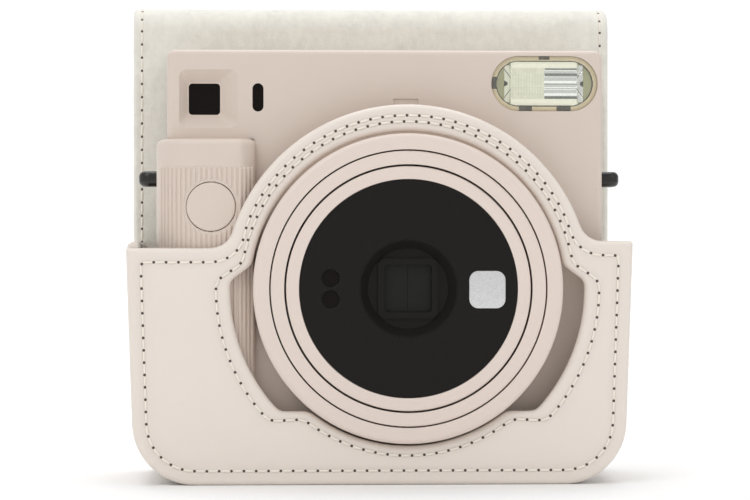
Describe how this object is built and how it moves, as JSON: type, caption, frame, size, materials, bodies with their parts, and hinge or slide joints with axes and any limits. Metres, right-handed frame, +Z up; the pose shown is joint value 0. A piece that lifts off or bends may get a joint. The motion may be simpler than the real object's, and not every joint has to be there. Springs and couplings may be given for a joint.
{
  "type": "instant camera",
  "caption": "Square-format instant film camera with a telescoping round lens, flash and finder, in a fitted stitched leather half-case with a fold-back flap.",
  "frame": {"origin": "middle of the case base, where it rests on the table", "axes": "+X to the right seen from the front, lens looks along -Y, +Z up"},
  "size_m": [0.1452, 0.0742, 0.1409],
  "materials": {
    "body_plastic": "fine satin",
    "grip_plastic": "satin",
    "button_plastic": "smooth satin",
    "ring_plastic": "smooth satin",
    "black_plastic": "matt",
    "face_black": "fine matt",
    "dark_window": "polished, tinted",
    "gear_plastic": "plain",
    "flash_bezel": "translucent cream",
    "flash_window": "clear plastic",
    "reflector": "polished",
    "tube_glass": "clear",
    "lens_glass": "coated",
    "mirror": "polished",
    "barrier_metal": "black satin",
    "screw_steel": "zinc plated",
    "spring_steel": "plain",
    "contact_metal": "nickel plated",
    "stud_metal": "satin nickel",
    "battery_can": "plain sleeve",
    "capacitor_sleeve": "shrink sleeve",
    "circuit_board": "solder resist",
    "film_sheet": "film pack",
    "roller_rubber": "rubber on a steel shaft",
    "lug_black": "glossy",
    "case_leather": "grained, stitched",
    "case_board": "stiffener board"
  },
  "bodies": {
    "camera": {"front_shell": "body_plastic", "rear_shell": "body_plastic", "body_screws": "screw_steel", "grip_cover": "grip_plastic", "shutter_switch": "black_plastic", "shutter_button_spring": "spring_steel", "battery_tray": "black_plastic", "batteries": "battery_can", "battery_contacts": "contact_metal", "lens_guide_tube": "black_plastic", "viewfinder_window": "dark_window", "viewfinder_tunnel": "black_plastic", "viewfinder_eyepiece": "dark_window", "meter_window": "dark_window", "flash_bezel": "flash_bezel", "flash_window": "flash_window", "flash_reflector": "reflector", "flash_tube": "tube_glass", "flash_capacitor": "capacitor_sleeve", "main_board": "circuit_board", "film_gate": "black_plastic", "film_cartridge": "black_plastic", "film_sheets": "film_sheet", "roller_brackets": "contact_metal", "drive_motor": "contact_metal", "film_door_hinge_pin": "spring_steel", "strap_lugs": "lug_black", "case_front_panel": "case_leather", "case_gusset": "case_leather", "press_stud_sockets": "stud_metal", "case_bottom_board": "case_board"},
    "ring": {"mode_ring": "ring_plastic"},
    "outer_barrel": {"outer_barrel": "ring_plastic"},
    "inner_barrel": {"inner_barrel": "ring_plastic", "lens_face_plate": "face_black", "selfie_mirror": "mirror", "light_sensor_windows": "dark_window", "lens_hood": "face_black", "lens_cell": "black_plastic", "front_lens_element": "lens_glass", "rear_lens_element": "lens_glass"},
    "barrier_left": {"barrier_leaf_left": "barrier_metal"},
    "barrier_right": {"barrier_leaf_right": "barrier_metal"},
    "shutter_blade": {"shutter_blade": "barrier_metal"},
    "shutter_button": {"shutter_button": "button_plastic"},
    "battery_door": {"battery_door": "grip_plastic"},
    "film_door": {"film_door": "body_plastic", "film_door_window": "dark_window"},
    "door_latch": {"film_door_latch": "grip_plastic"},
    "counter_dial": {"film_counter_dial": "gear_plastic"},
    "roller_front": {"roller_front": "roller_rubber"},
    "roller_rear": {"roller_rear": "roller_rubber"},
    "motor_pinion": {"motor_pinion": "gear_plastic"},
    "case_back": {"case_back_panel": "case_leather", "press_stud_caps": "stud_metal"},
    "flap_riser": {"flap_riser": "case_leather"},
    "fold_1": {"fold_strip_1": "case_leather"},
    "fold_2": {"fold_strip_2": "case_leather"},
    "flap": {"case_flap": "case_leather"},
    "flap_lip": {"case_flap_lip": "case_leather"}
  },
  "joints": [
    {"name": "mode_ring_turn", "type": "hinge", "parent": "camera", "child": "ring", "pos_m": [0.0079, -0.03, 0.0561], "axis": [0, -1, 0], "range_deg": [0, 70]},
    {"name": "outer_barrel_slide", "type": "slide", "parent": "camera", "child": "outer_barrel", "axis": [0, -1, 0], "range_m": [0, 0.012]},
    {"name": "inner_barrel_slide", "type": "slide", "parent": "outer_barrel", "child": "inner_barrel", "axis": [0, -1, 0], "range_m": [0, 0.012]},
    {"name": "barrier_left_slide", "type": "slide", "parent": "inner_barrel", "child": "barrier_left", "axis": [-1, 0, 0], "range_m": [0, 0.0069]},
    {"name": "barrier_right_slide", "type": "slide", "parent": "inner_barrel", "child": "barrier_right", "axis": [1, 0, 0], "range_m": [0, 0.0069]},
    {"name": "shutter_blade_swing", "type": "hinge", "parent": "inner_barrel", "child": "shutter_blade", "pos_m": [0.0079, -0.0183, 0.0479], "axis": [0, 1, 0], "range_deg": [0, 55], "stiffness_Nm_per_rad": 0.001, "springref_deg": -11.46},
    {"name": "shutter_button_press", "type": "slide", "parent": "camera", "child": "shutter_button", "axis": [0, 1, 0], "range_m": [0, 0.0012], "stiffness_N_per_m": 300, "springref_m": -0.0005, "deforming": ["shutter_button_spring"]},
    {"name": "battery_door_slide", "type": "slide", "parent": "camera", "child": "battery_door", "axis": [0, 0, 1], "range_m": [0, 0.004]},
    {"name": "film_door_hinge", "type": "hinge", "parent": "camera", "child": "film_door", "pos_m": [0.0595, 0.0234, 0.064], "axis": [0, 0, -1], "range_deg": [0, 99.5]},
    {"name": "door_latch_slide", "type": "slide", "parent": "camera", "child": "door_latch", "axis": [0, 0, 1], "range_m": [0, 0.003]},
    {"name": "counter_turn", "type": "hinge", "parent": "camera", "child": "counter_dial", "pos_m": [-0.051, 0.0206, 0.03], "axis": [0, 1, 0], "range_deg": [0, 330]},
    {"name": "roller_front_spin", "type": "hinge", "parent": "camera", "child": "roller_front", "pos_m": [0.008, 0.0025, 0.114], "axis": [1, 0, 0], "continuous": true},
    {"name": "roller_rear_spin", "type": "hinge", "parent": "camera", "child": "roller_rear", "pos_m": [0.008, 0.0097, 0.114], "axis": [1, 0, 0], "continuous": true},
    {"name": "motor_pinion_spin", "type": "hinge", "parent": "camera", "child": "motor_pinion", "pos_m": [0.05, -0.0035, 0.114], "axis": [1, 0, 0], "continuous": true},
    {"name": "case_back_hinge", "type": "hinge", "parent": "camera", "child": "case_back", "pos_m": [0.0726, 0.02745, 0.064], "axis": [0, 0, -1], "range_deg": [0, 110]},
    {"name": "riser_bend", "type": "hinge", "parent": "case_back", "child": "flap_riser", "pos_m": [0, 0.0289, 0.127], "axis": [1, 0, 0], "range_deg": [0, 90]},
    {"name": "fold_bend_1", "type": "hinge", "parent": "flap_riser", "child": "fold_1", "pos_m": [0, 0.0297, 0.1367], "axis": [1, 0, 0], "range_deg": [0, 61]},
    {"name": "fold_bend_2", "type": "hinge", "parent": "fold_1", "child": "fold_2", "pos_m": [0, 0.0349, 0.1397], "axis": [1, 0, 0], "range_deg": [0, 61]},
    {"name": "fold_bend_3", "type": "hinge", "parent": "fold_2", "child": "flap", "pos_m": [0, 0.0401, 0.1367], "axis": [1, 0, 0], "range_deg": [0, 61]},
    {"name": "lip_fold", "type": "hinge", "parent": "flap", "child": "flap_lip", "pos_m": [0, 0.0409, 0.0973], "axis": [1, 0, 0], "range_deg": [0, 90]}
  ],
  "couplings": [
    {"joint": "outer_barrel_slide", "follows": "mode_ring_turn", "m_per_rad": 0.009814},
    {"joint": "inner_barrel_slide", "follows": "mode_ring_turn", "m_per_rad": 0.009814},
    {"joint": "barrier_left_slide", "follows": "mode_ring_turn", "m_per_rad": 0.00564},
    {"joint": "barrier_right_slide", "follows": "mode_ring_turn", "m_per_rad": 0.00564},
    {"joint": "film_door_hinge", "follows": "case_back_hinge", "ratio": 0.9},
    {"joint": "roller_rear_spin", "follows": "roller_front_spin", "ratio": -1},
    {"joint": "motor_pinion_spin", "follows": "roller_front_spin", "ratio": -1.5},
    {"joint": "fold_bend_1", "follows": "riser_bend", "ratio": 0.6666},
    {"joint": "fold_bend_2", "follows": "riser_bend", "ratio": 0.6666},
    {"joint": "fold_bend_3", "follows": "riser_bend", "ratio": 0.6666}
  ]
}
